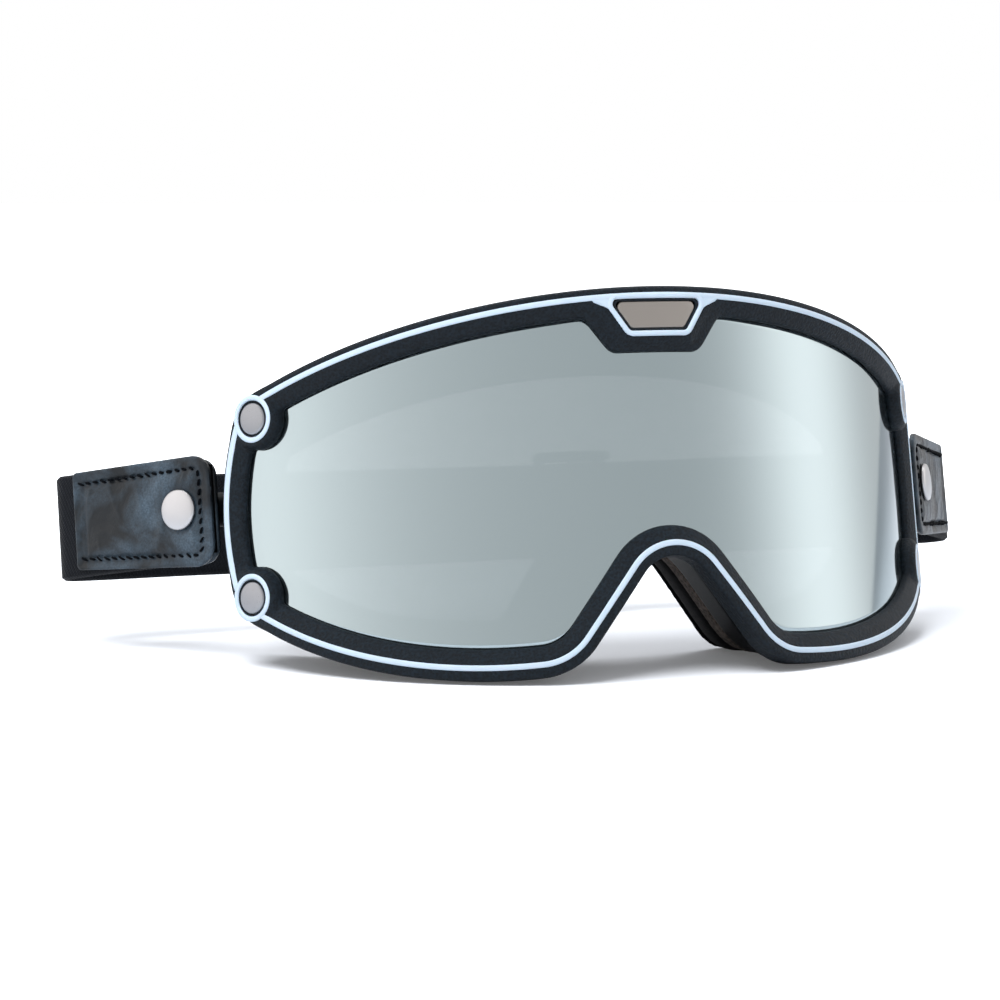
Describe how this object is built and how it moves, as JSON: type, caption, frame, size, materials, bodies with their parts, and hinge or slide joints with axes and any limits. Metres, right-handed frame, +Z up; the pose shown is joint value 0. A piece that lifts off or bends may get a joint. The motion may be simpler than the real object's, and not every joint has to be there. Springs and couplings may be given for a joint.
{
  "type": "motorcycle goggles",
  "caption": "Goggles with a wrapped mirrored lens in a piped, riveted frame, a foam-lined face shell and an elastic head strap on leather tabs.",
  "frame": {"origin": "centre of the goggles' box at the surface they stand on", "axes": "+X to the wearer's left, -Y out through the lens, +Z up; the goggles lean back as they rest"},
  "size_m": [0.2428, 0.1118, 0.0894],
  "materials": {
    "frame_rubber": "satin",
    "piping": "satin",
    "mirror_lens": "polished",
    "shell_plastic": "satin",
    "open_foam": "matte",
    "soft_foam": "matte",
    "fleece": "matte",
    "satin_metal": "satin",
    "badge_metal": "satin",
    "leather": "semi-gloss",
    "elastic_web": "matte",
    "slider_plastic": "matte"
  },
  "bodies": {
    "goggles": {"badge_plate": "badge_metal", "face_foam": "soft_foam", "face_shell": "shell_plastic", "fleece_lining": "fleece", "lens": "mirror_lens", "lens_gasket": "shell_plastic", "outer_frame": "frame_rubber", "piping_trim": "piping", "rivet_caps": "satin_metal", "rivet_shanks": "satin_metal", "rivet_washers": "satin_metal", "tongue_mount_left": "shell_plastic", "tongue_mount_right": "shell_plastic", "vent_mesh": "open_foam"},
    "strap": {"elastic_strap": "elastic_web", "leather_backing_left": "leather", "leather_backing_right": "leather", "leather_patch_left": "leather", "leather_patch_right": "leather", "side_tongue_left": "shell_plastic", "side_tongue_right": "shell_plastic", "snap_cap_left": "satin_metal", "snap_cap_right": "satin_metal", "snap_socket_left": "satin_metal", "snap_socket_right": "satin_metal", "snap_stud_left": "satin_metal", "snap_stud_right": "satin_metal"},
    "slider": {"slider_frame": "slider_plastic", "slider_bar": "slider_plastic", "strap_tail": "elastic_web"}
  },
  "joints": [
    {"name": "strap_swing", "type": "hinge", "parent": "goggles", "child": "strap", "pos_m": [0, 0.01259, 0.0354], "axis": [1, 0, 0], "range_deg": [-20, 40]},
    {"name": "slider_slide", "type": "slide", "parent": "strap", "child": "slider", "axis": [1, 0, 0], "range_m": [-0.09, 0.03]}
  ]
}
